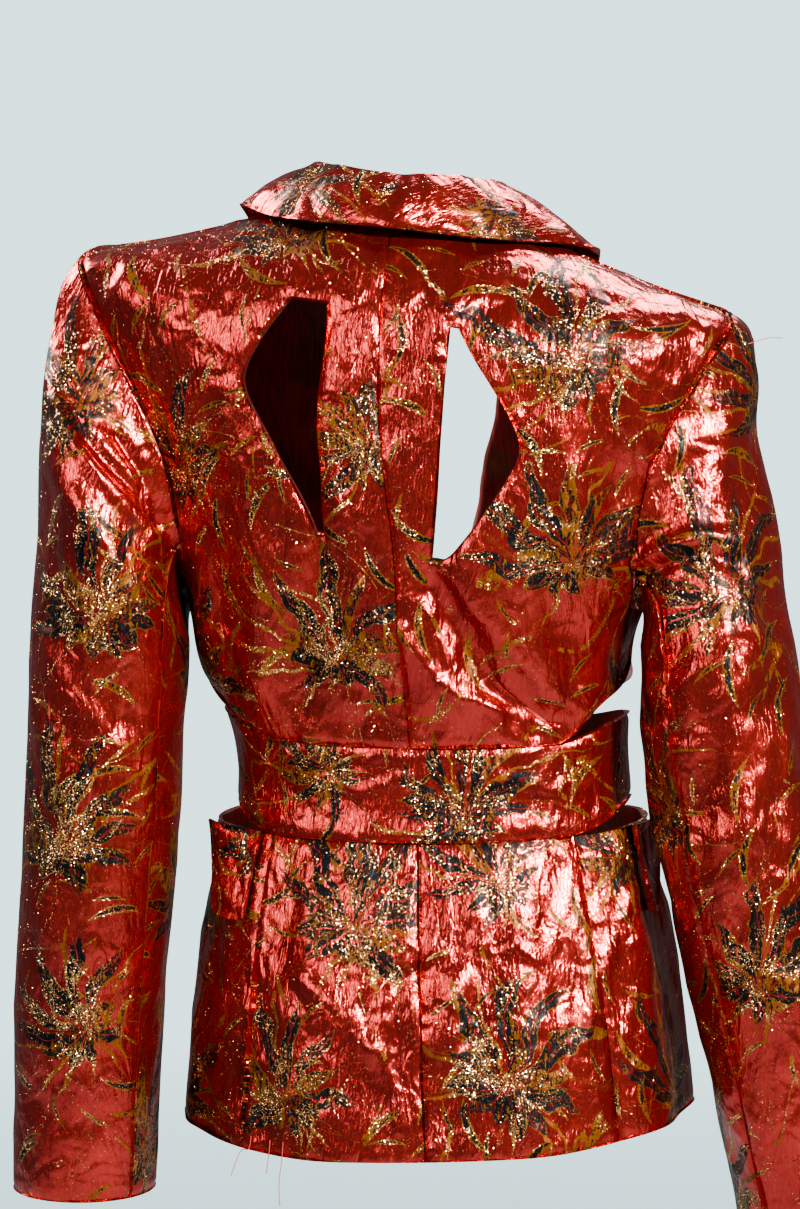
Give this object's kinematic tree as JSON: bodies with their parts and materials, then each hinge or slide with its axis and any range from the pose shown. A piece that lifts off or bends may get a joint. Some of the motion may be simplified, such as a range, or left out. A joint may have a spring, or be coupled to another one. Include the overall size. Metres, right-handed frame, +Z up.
{
  "type": "women's blazer",
  "caption": "Fitted metallic brocade blazer with kite-shaped back cut-outs, a separate waistband and a flared peplum, in its worn form.",
  "frame": {"origin": "on the wearer's neck, where the collar's stand sits at the base of the neck: the mount neck_seat", "axes": "+Z up along the garment's length; the back faces +Y; +X is the wearer's left"},
  "size_m": [0.5665, 0.2546, 0.6686],
  "materials": {
    "brocade": "metallic jacquard with a fine crinkle, red with gold and black flowers",
    "button": "covered in the same brocade"
  },
  "bodies": {
    "root": {"back_left": "brocade", "back_right": "brocade", "front_left": "brocade", "front_right": "brocade", "waistband": "brocade", "peplum_back_left": "brocade", "peplum_back_right": "brocade", "peplum_side_left": "brocade", "peplum_side_right": "brocade", "peplum_front_left": "brocade", "peplum_front_right": "brocade", "flap_left": "brocade", "flap_right": "brocade", "sleeve_upper_left": "brocade", "sleeve_under_left": "brocade", "sleeve_upper_right": "brocade", "sleeve_under_right": "brocade", "collar": "brocade", "button_front": "button"}
  },
  "joints": []
}
